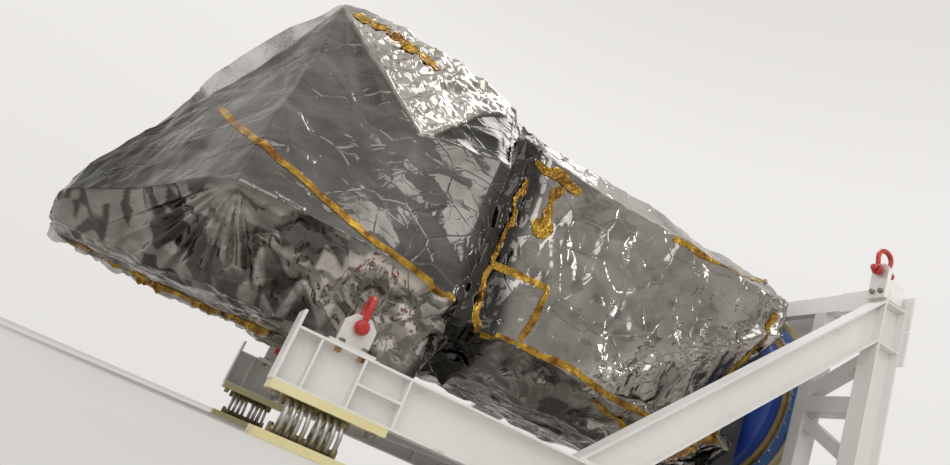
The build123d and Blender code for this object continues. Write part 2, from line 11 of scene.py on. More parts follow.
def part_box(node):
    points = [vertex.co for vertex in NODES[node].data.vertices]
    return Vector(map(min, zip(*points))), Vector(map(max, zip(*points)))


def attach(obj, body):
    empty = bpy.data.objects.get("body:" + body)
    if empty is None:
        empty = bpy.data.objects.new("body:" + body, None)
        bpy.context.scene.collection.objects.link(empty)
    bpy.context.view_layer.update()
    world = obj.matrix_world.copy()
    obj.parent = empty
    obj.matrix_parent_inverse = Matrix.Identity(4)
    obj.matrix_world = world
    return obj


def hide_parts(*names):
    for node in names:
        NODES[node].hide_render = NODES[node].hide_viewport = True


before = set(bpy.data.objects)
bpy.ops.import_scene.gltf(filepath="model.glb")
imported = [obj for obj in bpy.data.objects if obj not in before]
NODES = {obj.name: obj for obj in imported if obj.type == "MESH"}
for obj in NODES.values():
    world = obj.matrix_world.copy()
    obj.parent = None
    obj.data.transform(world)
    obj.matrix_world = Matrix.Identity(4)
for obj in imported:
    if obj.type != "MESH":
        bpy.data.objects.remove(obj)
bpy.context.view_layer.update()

# Everything is in metres in the part's own frame: X aft, Y to the right-hand side, Z up.
SIDES = {"left": -1, "right": 1}
# Where the rails, the columns, the rings' axis and the shackles' pins are
RAIL_Y = 1.036
RAIL_TOP = 0.400
FLANGE = 0.010
COLUMN_X = 1.786
COLUMN_TOP = 1.887
AXIS_Z = 1.267
FRONT_PIN = (-0.656, RAIL_Y, 0.491)
REAR_PIN = (1.7733, RAIL_Y, 1.978)


def add_object(name, data):
    made = bpy.data.objects.new(name, data)
    bpy.context.scene.collection.objects.link(made)
    return made


def make_camera():
    """Stands on the floor and looks up along the frame, rolled as the photograph is."""
    place, heading, pitch, roll = (-1.183, -3.735, 0.03), -16.38, 19.96, 23.29
    data = bpy.data.cameras.new("camera")
    data.lens, data.sensor_width = 27.635, 36.0
    camera = add_object("camera", data)
    turns = [Matrix.Rotation(radians(angle), 4, axis)
             for angle, axis in ((heading, "Z"), (90 + pitch, "X"), (roll, "Z"))]
    camera.matrix_world = Matrix.Translation(place) @ turns[0] @ turns[1] @ turns[2]
    bpy.context.scene.camera = camera


# Materials
BLACK, WHITE = (0, 0, 0), (1, 1, 1)


def add_node(tree, kind, inputs=None, **settings):
    """Makes a node. An input given as a socket is linked, and any other is set. Colours are
    given as red, green and blue."""
    made = tree.nodes.new(kind)
    for key, value in settings.items():
        setattr(made, key, value)
    for key, value in (inputs or {}).items():
        socket = made.inputs[key]
        if isinstance(value, bpy.types.NodeSocket):
            tree.links.new(value, socket)
        else:
            socket.default_value = (*value, 1) if socket.type == "RGBA" else value
    return made


def colour_ramp(tree, value, stops):
    made = add_node(tree, "ShaderNodeValToRGB", {"Fac": value})
    elements = made.color_ramp.elements
    while len(elements) < len(stops):
        elements.new(0.5)
    for element, (position, colour) in zip(elements, stops):
        element.position, element.color = position, (*colour, 1)
    return made.outputs["Color"]


class Graph:
    """A material's nodes, with a principled shader ready."""

    def __init__(self, name, **sockets):
        self.material = bpy.data.materials.new(name)
        self.material.use_nodes = True
        self.tree = self.material.node_tree
        self.shader = self.tree.nodes["Principled BSDF"]
        for key, value in sockets.items():
            self.shader.inputs[key.replace("_", " ").title()].default_value = value
        self.place = self.node("ShaderNodeTexCoord").outputs["Object"]

    def node(self, kind, inputs=None, **settings):
        return add_node(self.tree, kind, inputs, **settings)

    def stretched(self, scale):
        return self.node("ShaderNodeMapping", {"Vector": self.place, "Scale": scale}).outputs[0]

    def layer(self, name, output):
        """A value that a mesh stores at its points."""
        return self.node("ShaderNodeAttribute", attribute_name=name).outputs[output]

    def noise(self, scale, detail=3.0, rough=0.55, place=None, distortion=0.0):
        return self.node("ShaderNodeTexNoise", {
            "Vector": place or self.place, "Scale": scale, "Detail": detail,
            "Roughness": rough, "Distortion": distortion}).outputs["Fac"]

    def cells(self, scale, place, feature):
        return self.node("ShaderNodeTexVoronoi", {"Vector": place, "Scale": scale},
                         feature=feature).outputs["Distance"]

    def ramp(self, value, low, high, start=BLACK):
        return colour_ramp(self.tree, value, ((low, start), (high, WHITE)))

    def mix(self, share, one, two, blend="MIX"):
        return self.node("ShaderNodeMix", {0: share, 6: one, 7: two}, data_type="RGBA",
                         blend_type=blend).outputs[2]

    def mottled(self, value, one, two, low=0.3, high=0.7):
        """Two colours in patches that a texture's value sets out."""
        return self.mix(self.ramp(value, low, high), one, two)

    def product(self, one, two):
        return self.node("ShaderNodeMath", {0: one, 1: two}, operation="MULTIPLY").outputs[0]

    def bump(self, height, distance, strength=1.0, normal=None):
        inputs = {"Height": height, "Distance": distance, "Strength": strength}
        if normal is not None:
            inputs["Normal"] = normal
        return self.node("ShaderNodeBump", inputs).outputs[0]

    def wire(self, colour, scale, low, high, normal=None, detail=3.0):
        """Ends in the shader. The roughness varies between two values with a noise."""
        rough = self.node("ShaderNodeMapRange", {
            "Value": self.noise(scale, detail), "From Min": 0.3, "From Max": 0.7,
            "To Min": low, "To Max": high}).outputs["Result"]
        for key, value in (("Base Color", colour), ("Roughness", rough), ("Normal", normal)):
            if value is not None:
                self.tree.links.new(value, self.shader.inputs[key])
        return self.material


def film():
    """Metallised dust film: a dark warm mirror with thin creases and soft ripples."""
    g = Graph("film", metallic=1.0)
    colour = g.mottled(g.noise(2.2, 4.0, 0.6), (0.36, 0.34, 0.312), (0.45, 0.427, 0.396), 0.35, 0.65)
    clouds = g.ramp(g.noise(3.2, 3.0, 0.5, distortion=1.6), 0.36, 0.60, (0.72, 0.715, 0.70))
    colour = g.mix(1.0, colour, clouds, "MULTIPLY")
    # Painted light and shade: the value stored at each point darkens or lightens the film's colour,
    # standing in for shadows, mirrored dark surroundings and lamp glints.
    colour = g.mix(1.0, colour, g.layer("painted_light", "Color"), "MULTIPLY")
    drift = g.node("ShaderNodeTexNoise", {"Vector": g.place, "Scale": 5.0, "Detail": 2.0})
    warped = g.node("ShaderNodeVectorMath", {0: drift.outputs["Color"], 1: (0.05, 0.05, 0.05),
                                             2: g.place}, operation="MULTIPLY_ADD").outputs[0]
    fold = g.bump(g.noise(5.0, 3.0, 0.5, distortion=0.6), 0.014, 0.4)
    for scale, width, distance, strength in ((5.0, 0.035, 0.0022, 0.55), (13.0, 0.06, 0.001, 0.35)):
        crease = g.ramp(g.cells(scale, warped, "DISTANCE_TO_EDGE"), 0.0, width)
        fold = g.bump(crease, distance, strength, fold)
    crinkle = g.product(g.layer("crinkle", "Fac"), 0.8)
    fold = g.bump(g.cells(19.0, warped, "SMOOTH_F1"), 0.016, crinkle, fold)
    return g.wire(colour, 7.0, 0.09, 0.18, fold)


def seam_film(name, alpha):
    """One thickness of the film, which lets some light through."""
    g = Graph(name, metallic=0.6, alpha=alpha)
    colour = g.mix(g.noise(9.0), (0.24, 0.23, 0.215), (0.48, 0.465, 0.44))
    fold = g.bump(g.noise(38.0, rough=0.6, distortion=1.0), 0.003, 0.6)
    return g.wire(colour, 6.0, 0.16, 0.3, fold)


def tape():
    """Amber polyimide tape over the film."""
    g = Graph("tape", metallic=0.85, coat_weight=0.4, coat_roughness=0.12)
    colour = g.mottled(g.noise(14.0, 4.0, 0.6), (0.20, 0.075, 0.003), (0.56, 0.34, 0.035), 0.38, 0.62)
    fold = g.bump(g.noise(60.0, rough=0.6), 0.0016, 0.6)
    return g.wire(colour, 30.0, 0.15, 0.35, fold)


def frame_paint(name, light, dark, stain):
    """Pale paint with faint stains, scuffs and brush marks."""
    g = Graph(name, coat_weight=0.15, coat_roughness=0.35)
    colour = g.mottled(g.noise(1.6, 5.0, 0.62), light, dark, 0.3, 0.72)
    spots = g.ramp(g.noise(7.5, 6.0, 0.7, distortion=0.4), 0.60, 0.80)
    colour = g.mix(g.product(spots, 0.55), colour, stain)
    streaks = g.ramp(g.noise(9.0, 4.0, 0.6, g.stretched((1.0, 1.0, 9.0))), 0.62, 0.82)
    colour = g.mix(g.product(streaks, 0.25), colour, (0.42, 0.40, 0.37))
    grain = g.bump(g.noise(210.0), 0.0006, 0.35)
    brushed = g.bump(g.noise(14.0, 2.0), 0.002, 0.15, grain)
    return g.wire(colour, 12.0, 0.34, 0.55, brushed, detail=4.0)


def raw_plate():
    """Bare machined aluminium with a fine directional finish."""
    g = Graph("raw_plate", metallic=0.35)
    brushed = g.noise(90.0, 3.0, 0.6, g.stretched((1.0, 1.0, 14.0)))
    colour = g.mottled(brushed, (0.70, 0.68, 0.65), (0.82, 0.80, 0.77))
    return g.wire(colour, 20.0, 0.32, 0.5, g.bump(brushed, 0.0005, 0.3))


def chromate(name, light, dark):
    """Yellow conversion coating on aluminium, uneven as it always is."""
    g = Graph(name)
    colour = g.mottled(g.noise(6.0, 5.0, 0.65, distortion=0.6), light, dark)
    return g.wire(colour, 25.0, 0.3, 0.5, g.bump(g.noise(160.0, 2.0), 0.0005, 0.3))


def shackle_red():
    """Glossy red paint on a forging, chipped a little."""
    g = Graph("shackle_red", coat_weight=0.5, coat_roughness=0.15)
    colour = g.mottled(g.noise(22.0, 4.0), (0.42, 0.010, 0.008), (0.60, 0.022, 0.014))
    chips = g.ramp(g.noise(95.0, 5.0, 0.7), 0.68, 0.74)
    colour = g.mix(chips, colour, (0.10, 0.03, 0.02))
    return g.wire(colour, 40.0, 0.22, 0.4, g.bump(g.noise(120.0), 0.0012, 0.4))


def steel(name, light, dark):
    g = Graph(name, metallic=1.0)
    colour = g.mottled(g.noise(30.0), light, dark)
    return g.wire(colour, 45.0, 0.25, 0.42, g.bump(g.noise(120.0, 2.0), 0.0006, 0.3))


def ring_paint(name, light, dark):
    g = Graph(name, coat_weight=0.35, coat_roughness=0.2)
    colour = g.mottled(g.noise(5.0, 4.0), light, dark)
    return g.wire(colour, 18.0, 0.3, 0.45, g.bump(g.noise(150.0), 0.0005, 0.3))


def satellite_skin():
    """Black blanket over the two blocks that the bag hides."""
    g = Graph("satellite_skin")
    colour = g.mix(g.noise(8.0), (0.03, 0.03, 0.032), (0.08, 0.08, 0.085))
    return g.wire(colour, 12.0, 0.4, 0.6)


def floor_paint():
    g = Graph("floor_paint")
    colour = g.mottled(g.noise(0.35, 4.0), (0.70, 0.685, 0.665), (0.74, 0.725, 0.705))
    return g.wire(colour, 1.2, 0.5, 0.7)


def make_materials():
    return {
        "film": film(), "seam": seam_film("seam_film", 0.85),
        "flange": seam_film("flange_film", 0.5), "tape": tape(), "raw": raw_plate(),
        "red": shackle_red(), "skin": satellite_skin(),
        "white": frame_paint("frame_white", (0.87, 0.855, 0.83), (0.80, 0.785, 0.76),
                             (0.46, 0.39, 0.29)),
        "grey": frame_paint("frame_grey", (0.68, 0.67, 0.65), (0.58, 0.57, 0.55), (0.38, 0.33, 0.26)),
        "plate": chromate("plate_yellow", (0.86, 0.80, 0.46), (0.80, 0.70, 0.36)),
        "bar": chromate("bar_olive", (0.30, 0.23, 0.08), (0.18, 0.14, 0.06)),
        "rope": steel("rope_steel", (0.62, 0.60, 0.56), (0.45, 0.44, 0.41)),
        "bolt": steel("bolt_steel", (0.30, 0.27, 0.22), (0.18, 0.16, 0.14)),
        "nut": steel("nut_copper", (0.42, 0.24, 0.12), (0.30, 0.17, 0.09)),
        "bright": steel("bright_steel", (0.72, 0.71, 0.69), (0.55, 0.54, 0.52)),
        "brass": steel("brass", (0.55, 0.40, 0.14), (0.42, 0.29, 0.09)),
        "cream": ring_paint("ring_cream", (0.74, 0.61, 0.36), (0.66, 0.53, 0.29)),
        "sky": ring_paint("ring_light_blue", (0.09, 0.19, 0.46), (0.065, 0.15, 0.38)),
        "navy": ring_paint("ring_dark_blue", (0.018, 0.062, 0.34), (0.012, 0.042, 0.25)),
        "band": chromate("band_gold", (0.42, 0.32, 0.12), (0.28, 0.21, 0.08)),
    }


# Mesh helpers


def add_mesh(name, points, faces, material, body="frame", smooth=True, rides=True):
    data = bpy.data.meshes.new(name)
    data.from_pydata([tuple(p) for p in points], [], [tuple(int(i) for i in f) for f in faces])
    data.polygons.foreach_set("use_smooth", [smooth] * len(data.polygons))
    data.materials.append(material)
    data.update()
    piece = add_object(name, data)
    if rides:
        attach(piece, body)
    return piece


class Heap:
    """Gathers the points and faces of many small shapes into one mesh."""

    def __init__(self):
        self.points, self.faces = [], []

    def place(self, shape, matrix):
        points, faces = shape
        start = len(self.points)
        self.points += [matrix @ Vector(p) for p in points]
        self.faces += [[start + i for i in face] for face in faces]

    def made(self, name, material, body="frame", smooth=True):
        return add_mesh(name, self.points, self.faces, material, body, smooth)


def grid_faces(rows, columns, closed=True):
    """Quads between the rows of a grid of points, each row closed on itself or not."""
    i = np.arange(rows - 1)[:, None]
    j = np.arange(columns if closed else columns - 1)[None, :]
    k = (j + 1) % columns
    quads = np.stack([i * columns + j, i * columns + k, (i + 1) * columns + k,
                      (i + 1) * columns + j], axis=-1)
    return quads.reshape(-1, 4)


def capped(rows, sides):
    """The faces of a grid of closed rows, with one face over each end."""
    start, end = list(range(sides)), (rows - 1) * sides
    return [*grid_faces(rows, sides).tolist(), start[::-1], [end + i for i in start]]


def turned(profile, sides, hollow=False):
    """A shape turned about Z from (radius, height) pairs. It is closed at both ends, or else
    its last ring joins its first."""
    angles = 2 * pi * (np.arange(sides) + 0.5) / sides
    ring = np.stack([np.cos(angles), np.sin(angles)], axis=1)
    points = [(r * x, r * y, z) for r, z in profile for x, y in ring]
    rows = len(profile)
    if hollow:
        return points, grid_faces(rows + 1, sides) % (rows * sides)
    return points, capped(rows, sides)


def hex_head(across, height):
    """A bolt head or nut with a chamfered top, standing on a thin washer."""
    r = across / sqrt(3)
    return turned([(r * 1.12, 0), (r * 1.12, 0.0016), (r, 0.0017), (r, height * 0.82),
                   (r * 0.86, height)], 6)


def washer(radius, thick):
    return turned([(radius * 0.97, 0), (radius, thick * 0.3), (radius, thick * 0.8),
                   (radius * 0.96, thick)], 20)


def pointing(place, axis):
    """The matrix that stands a shape at a place, its Z along an axis."""
    return Matrix.Translation(place) @ Vector(axis).to_track_quat("Z", "Y").to_matrix().to_4x4()


def unit(vectors):
    return vectors / np.linalg.norm(vectors, axis=-1, keepdims=True)


def lengths_along(path):
    """The distance from a path's start to each of its points."""
    return np.concatenate([[0], np.cumsum(np.linalg.norm(np.diff(path, axis=0), axis=1))])


def frames_along(path):
    """A pair of normals carried along a path without twist."""
    tangent = unit(np.gradient(path, axis=0))
    normal = [unit(np.cross(tangent[0], (0.3, 0.5, 0.81)))]
    for t in tangent[1:]:
        normal.append(unit(normal[-1] - t * (normal[-1] @ t)))
    normal = np.array(normal)
    return normal, np.cross(tangent, normal)


def tube(path, radius, sides):
    """A closed-ended tube along a path. The radius has a row for each ring, with one value or
    one for each side."""
    normal, other = frames_along(path)
    angles = 2 * pi * np.arange(sides) / sides
    points = path[:, None] + radius[..., None] * (
        np.cos(angles)[:, None] * normal[:, None] + np.sin(angles)[:, None] * other[:, None])
    return points.reshape(-1, 3), capped(len(path), sides)


def rise(low, high, value):
    """From 0 to 1 as the value goes from low to high, softly."""
    t = np.clip((value - low) / (high - low), 0, 1)
    return t * t * (3 - 2 * t)


def fall(low, high, value):
    """From 1 to 0, likewise."""
    return 1 - rise(low, high, value)


def steps(count):
    """Even steps from 0 to 1."""
    return np.linspace(0, 1, count)


def spread_out(draws, at):
    """Random draws at even distances along a line, joined by straight lines."""
    return np.interp(at, np.linspace(at[0], at[-1], len(draws)), draws)


# The bag

# X, then half width and height of the bottom, waist, shoulder and top corners. Corner
# coordinates run 0 bottom centre, 1 bottom, 2 waist, 3 shoulder, 4 top, 5 top centre. The step
# from the forward part to the smaller aft part ends at STEP.
FORWARD = (
    (-1.950, (0.160, 0.500), (0.215, 0.590), (0.170, 0.680), (0.090, 0.715)),
    (-1.905, (0.205, 0.472), (0.300, 0.610), (0.220, 0.765), (0.110, 0.815)),
    (-1.620, (0.310, 0.462), (0.560, 0.715), (0.150, 1.395), (0.085, 1.430)),
    (-1.420, (0.385, 0.458), (0.765, 0.800), (0.090, 1.890), (0.060, 1.925)),
    (-1.305, (0.420, 0.460), (0.850, 0.837), (0.075, 2.190), (0.050, 2.222)),
    (-1.150, (0.470, 0.466), (0.865, 0.838), (0.215, 2.020), (0.120, 2.222)),
    (-0.725, (0.600, 0.487), (0.900, 0.837), (0.650, 1.520), (0.330, 2.140)),
    (-0.330, (0.620, 0.497), (0.885, 0.800), (0.750, 1.540), (0.395, 2.060)),
    (-0.265, (0.612, 0.505), (0.868, 0.800), (0.745, 1.530), (0.390, 2.040)),
)
STEP = (-0.225, (0.415, 0.632), (0.625, 0.812), (0.625, 1.742), (0.425, 1.922))
AFT = (
    (-0.255, (0.430, 0.617), (0.640, 0.797), (0.640, 1.757), (0.440, 1.937)),
    (1.565, (0.430, 0.637), (0.620, 0.817), (0.620, 1.737), (0.430, 1.897)),
    (1.685, (0.330, 0.817), (0.450, 0.957), (0.450, 1.577), (0.330, 1.697)),
)
# How far the bottom's middle hangs below its corners, and the top's stands above its own
FORWARD_DROP, AFT_DROP, LIFT = 0.018, 0.010, 0.004
# How far each stretch from one corner to the next sags inward, as a share of its length
FORWARD_SAGS, AFT_SAGS = (-0.02, 0.02, 0.015, 0.02, 0.01), (0.02, 0.02, 0.012, 0.02, 0.01)
# Each kind of crease: its spacing, its seed, and mostly the direction in which it is drawn
# out and the share that distances count there
# The sixth forward kind and the fifth aft kind only set out where painted shade and highlights fall on
# the film.
FORWARD_CREASES = (
    (0.55, 11), (0.13, 12, 98, 0.33), (0.065, 13, 103, 0.35), (0.045, 14, -50, 0.4),
    (0.085, 16, 20, 0.6), (0.125, 15, 98, 0.38), (0.24, 18, -35, 0.6), (0.060, 17, 97, 0.18))
AFT_CREASES = (
    (0.5, 31), (0.2, 32, 95, 0.45), (0.09, 33, 70, 0.6), (0.042, 34, 30, 0.45),
    (0.15, 35, 80, 0.5), (0.060, 37, 97, 0.18))
# Each part is two sheets of film, left and right, joined along the top and the bottom. These
# are the columns of a sheet's grid in each stretch; the far side's grid is the coarser.
FORWARD_COUNTS = {-1: (50, 78, 132, 74, 28), 1: (34, 44, 80, 44, 20)}
AFT_COUNTS = {-1: (50, 66, 168, 56, 34), 1: (34, 38, 96, 32, 22)}


def half_outlines(table, xs, drop, lift):
    """The half outline's six corners at each X, straight between the table's rows."""
    at = np.array([row[0] for row in table])
    corners = np.array([[(0.0, row[1][1] - drop), *row[1:], (0.0, row[4][1] + lift)]
                        for row in table])
    flat = [[np.interp(xs, at, corners[:, k, i]) for k in range(6)] for i in (0, 1)]
    return np.array(flat).transpose(2, 1, 0)


def half_sheet(table, xs, drop, lift, counts, side, sags=(0,) * 5):
    """A grid of points over one side, from the bottom's middle to the top's, and the
    corner coordinate of each column."""
    halves = half_outlines(table, xs, drop, lift)
    columns, corner = [], []
    for k, count in enumerate(counts):
        f = np.arange(count + (k == 4)) / count
        one, two = halves[:, k], halves[:, k + 1]
        edge = two - one
        inward = np.stack([-edge[:, 1], edge[:, 0]], axis=1)
        depth = sags[k] * 4 * f * (1 - f)
        columns.append(one[:, None] * (1 - f)[:, None] + two[:, None] * f[:, None]
                       + inward[:, None] * depth[:, None])
        corner.append(k + f)
    flat = np.concatenate(columns, axis=1)
    x = np.broadcast_to(xs[:, None, None], (*flat.shape[:2], 1))
    return np.concatenate([x, side * flat[..., :1], flat[..., 1:]], axis=2), np.concatenate(corner)


def between(one, two, count):
    """Rows that lead from one row of points to another, the first left out."""
    return np.array([one * (1 - s) + two * s for s in steps(count + 1)[1:]])


def softened(grid, passes):
    """Rounds the corners in each row a little, and leaves the row's two ends alone."""
    for _ in range(passes):
        grid[:, 1:-1] = 0.5 * grid[:, 1:-1] + 0.25 * (grid[:, :-2] + grid[:, 2:])
    return grid


def grid_normals(grid, side):
    normal = np.cross(np.gradient(grid, axis=1), np.gradient(grid, axis=0)) * side
    return normal / np.maximum(np.linalg.norm(normal, axis=2), 1e-9)[..., None]


class Creases:
    """Flat facets with sharp creases both ways: the difference of the squared distances
    to the nearest of two sets of random points near the surface. Along one direction in the
    plane of X and Z distances count as a share of themselves, which draws the facets out."""

    def __init__(self, sample, spacing, seed, degrees=0, share=1):
        rng = np.random.default_rng(seed)
        a = radians(degrees)
        grain = np.array([cos(a), 0.0, sin(a)])
        self.spacing, self.stretch = spacing, np.eye(3) - (1 - share) * np.outer(grain, grain)
        spots = sample @ self.stretch
        span = spots.max(0) - spots.min(0)
        about_area = 2.4 * (span[0] * span[1] + span[1] * span[2] + span[0] * span[2])
        fewest, most = 12, 60000
        count = int(np.clip(about_area / spacing ** 2, fewest, most))
        self.trees = []
        for _ in range(2):
            seeds = spots[rng.integers(0, len(spots), count)]
            seeds = seeds + rng.normal(0, 0.35 * spacing, seeds.shape)
            tree = KDTree(count)
            for i, seed_point in enumerate(seeds):
                tree.insert(seed_point, i)
            tree.balance()
            self.trees.append(tree)

    def __call__(self, points):
        spots = points @ self.stretch
        one, two = (np.array([tree.find(p)[2] for p in spots]) ** 2 for tree in self.trees)
        return (one - two) / (2 * self.spacing)


def fan(points, centre, aim, reach, pleats, seed, spread):
    """Pleats that radiate from a point, deepest part way along. Aim and the angle are in
    the plane of X and Z, which the bag's sides nearly are."""
    rng = np.random.default_rng(seed)
    dx, dz = points[:, 0] - centre[0], points[:, 2] - centre[1]
    r = np.hypot(dx, dz)
    angle = np.arctan2(dx, dz) - radians(aim)
    angle = (angle + pi) % (2 * pi) - pi
    pitch = 2 * spread / pleats
    knots = pitch * (np.arange(pleats) + rng.uniform(-0.3, 0.3, pleats)) - spread
    levels = np.where(np.arange(pleats) % 2 == 0, 1.0, -1.0) * rng.uniform(0.4, 1.0, pleats)
    wave = np.interp(angle, knots, levels, left=0, right=0)
    share = r / (reach * np.interp(angle, knots, rng.uniform(0.45, 1.0, pleats)))
    return wave * np.clip(share, 0, 1) * fall(0.55, 1.0, share)


def film_sheet(name, grid, corner, side, kinds, folds, material):
    """Displaces the grid by its folds, less near the two seams, and makes the sheet's mesh. A
    forward sheet is closed at its nose."""
    seam_margin = 0.14
    rows, columns, _ = grid.shape
    c = np.tile(corner, rows)
    points = grid.reshape(-1, 3)
    height, painted_light, crinkle = folds([kind(points) for kind in kinds], points, c)
    painted_light, crinkle = np.clip(painted_light, 0.12, 2.2), np.clip(crinkle, 0, 1)
    height = height * rise(0, seam_margin, c) * rise(0, seam_margin, 5 - c)
    points = points + grid_normals(grid, side).reshape(-1, 3) * height[:, None]
    faces = grid_faces(rows, columns, closed=False)
    faces = (faces if side > 0 else faces[:, ::-1]).tolist()
    if folds is forward_folds:
        middle, tip = points[:columns].mean(axis=0) * (1, 0, 1), len(points)
        points, painted_light = np.vstack([points, middle]), np.append(painted_light, 1.0)
        crinkle = np.append(crinkle, 0.0)
        faces += [[tip, j + 1, j] if side > 0 else [tip, j, j + 1] for j in range(columns - 1)]
    piece = add_mesh(name, points, faces, material)
    # Each point keeps its painted light and shade, which the film's material multiplies into its
    # colour, and how crinkled it is.
    for word, values in (("painted_light", painted_light), ("crinkle", crinkle)):
        layer = piece.data.attributes.new(word, "FLOAT", "POINT")
        layer.data.foreach_set("value", np.asarray(values, np.float32))
    return piece


def forward_folds(creases, points, c):
    """The folds' height over the plain surface, the painted light and shade on the film's colour and
    how crinkled it is, from the height of each kind of crease and the corner coordinate."""
    broad, hanging, middling, shards, flakes, painted_light_patches, slack, ribs = creases
    x = points[:, 0]
    lower = fall(1.88, 2.04, c)
    edge = 3.0 + 0.72 * rise(-0.72, -0.32, x)
    chamfer = rise(edge - 0.03, edge + 0.06, c)
    panel = (1 - lower) * (1 - chamfer)
    nose = fall(-1.78, -1.45, x)
    step = rise(-0.34, -0.27, x)
    rear = rise(-1.36, -1.22, x)
    under = 0.35 + 0.65 * rise(0.6, 1.25, c)
    busy = rise(-1.22, -0.98, x)
    height = broad * (0.10 * panel + 0.20 * lower * under + 0.15 * chamfer)
    height += slack * (0.20 * panel + 0.45 * lower * under)
    height += hanging * (0.05 * panel + 0.15 * chamfer + 0.20 * nose
                         + (0.55 + 0.15 * busy) * lower * under)
    height += middling * (0.05 * panel + 0.10 * chamfer + (0.12 + 0.40 * busy) * lower * under)
    height += ribs * (0.9 * step + 0.35 * nose)
    patchy = rise(-0.012, 0.004, flakes)
    height += shards * (0.02 * panel + (0.02 + 0.16 * busy) * lower
                        + chamfer * rear * (0.15 + 0.85 * patchy))
    height += flakes * (0.05 * panel + 0.7 * chamfer * rear + 0.10 * lower)
    pleats = fan(points, (-1.305, 0.850), 188, 0.72, 17, 21, 0.90)
    height += 0.030 * pleats * lower * rise(0.8, 1.3, c)
    height += 0.007 * fan(points, (-1.305, 0.840), 75, 0.50, 9, 22, 0.9) * panel
    height += 0.012 * fan(points, (-1.300, 2.200), 168, 1.5, 14, 23, 0.9) * panel
    # The hem is a raised bead, and a painted highlight line is also laid along it below.
    hem = np.exp(-((c - edge) / 0.022) ** 2) * rear * (1 - step)
    height += 0.012 * hem
    height *= 1 - 0.96 * rise(-0.38, -0.31, x) * rise(2.6, 3.1, c)
    # Painted shade: dark patches on the lower film, standing in for the dark floor and shadows that
    # its facets would mirror.
    dark = rise(0.0015, 0.004, painted_light_patches + 0.003 * busy) * lower * (1 - 0.1 * nose)
    # Painted highlight: the chamfer's crinkles lightened as if catching the lamps.
    bright = chamfer * rear * fall(-0.42, -0.34, x)
    # Painted light and shade in the film's colour: the side panel darker, and darker again just under
    # its upper edge, against the lamps' reflections; the chamfer lighter; the lower film lighter and
    # darker in patches and in stripes along the pleats, lighter below the front; the hem lighter; the
    # nose's upper part darker; and the step darkened as if in shadow.
    painted_light = 1 - 0.50 * panel * (1 - step) - 0.62 * dark + 0.55 * bright
    fore = fall(-1.45, -1.20, x)
    painted_light += (0.12 - 0.15 * busy - 0.24 * fore + (0.5 - 0.3 * dark) * pleats) * lower
    painted_light += (0.3 * rise(0.003, 0.008, -painted_light_patches) * busy
              + 0.6 * rise(-0.85, -0.60, x) * (1 - step)) * lower
    painted_light -= 0.30 * panel * rise(3.0, 3.1, c) * (1 - step)
    painted_light += 0.8 * hem - 0.30 * nose * (1 - lower)
    painted_light -= step * (0.82 - 0.20 * rise(2.7, 3.0, c))
    crinkle = (0.35 + 0.65 * busy) * lower * (1 - 0.6 * fore) + 0.5 * step
    return height, painted_light, crinkle


def aft_folds(creases, points, c):
    """The same for the aft part, whose lower aft corner turns under in a crinkled roll."""
    broad, hanging, middling, fine, painted_light_patches, ribs = creases
    x, z = points[:, 0], points[:, 2]
    lower = fall(1.85, 2.04, c)
    top = rise(2.95, 3.08, c)
    panel = (1 - lower) * (1 - top)
    front = fall(-0.07, 0.03, x + 0.10 * (z - 1.2) - 0.02 * np.sin(9 * z))
    ends = front + rise(1.42, 1.52, x)
    roll = z - (0.86 + 0.72 * (x - 0.60))
    along = rise(0.35, 0.65, x) * panel
    band = np.exp(-(roll / 0.085) ** 2) * along
    under = fall(-0.30, 0.0, roll) * along
    soft = 0.35 + 0.65 * rise(0.6, 1.25, c)
    height = broad * (0.10 * panel + 0.2 * lower * soft + 0.15 * top)
    height += hanging * (0.30 * panel + 0.40 * lower * soft + 0.15 * top + 0.30 * ends)
    height += ribs * 0.95 * ends
    height += middling * (0.22 * panel + 0.45 * lower * soft + 0.25 * top + 0.30 * ends
                          + 0.4 * band + 0.35 * under)
    height += fine * (0.04 * panel + 0.10 * lower + 0.30 * top + 0.06 * ends + 0.9 * band
                      + 0.1 * under)
    height -= 0.10 * under + 0.10 * rise(1.1, 1.5, x) * fall(-0.45, -0.1, roll) * (1 - top)
    height += 0.003 * fan(points, (0.05, 1.60), 178, 0.95, 12, 36, 0.8) * panel
    height *= 1 - 0.85 * fall(-0.24, -0.18, x) * rise(2.8, 3.4, c)
    height -= 0.055 * fall(-0.25, -0.222, x) * rise(2.83, 3.0, c) * fall(3.6, 3.9, c)
    # Painted shade: the front of the top darkened as if in the step's shadow.
    cap = top * fall(0.02, 0.12, x)
    # Painted shade: the step's front, and patches low down and under the roll, darkened as if in
    # shadow or mirroring the dark floor.
    dark = np.clip(front * (1 - top) + rise(0.0, 0.012, painted_light_patches) * (lower + under), 0, 1)
    # Painted light and shade: the front darker still, the crinkled roll and the top lighter as if
    # catching the light, the top's front darker.
    painted_light = 1 - 0.62 * dark - 0.20 * front + 0.6 * band + 0.4 * top - 0.9 * cap
    foot = panel * fall(0.0, 0.22, z - 0.90 + 0.15 * x)
    crinkle = 0.9 * band + 0.6 * under + 0.8 * lower + 0.7 * foot + 0.6 * front
    return height, painted_light, crinkle


def with_nose_and_step(body, side):
    """A closed nose before the rows, and a step after them that turns in to the aft part."""
    nose_length, nose_rows, step_rows = 0.012, 12, 26 if side < 0 else 14
    centre = body[0].mean(axis=0) * (1, 0, 1)
    nose = [centre + (body[0] - centre) * s + np.array([-nose_length * (1 - s * s), 0, 0])
            for s in np.linspace(0.1, 0.94, nose_rows)]
    lip = half_sheet([STEP], np.array([STEP[0]]), 0, 0, FORWARD_COUNTS[side], side)[0][0]
    return np.concatenate([nose, body, between(body[-1], lip, step_rows)])


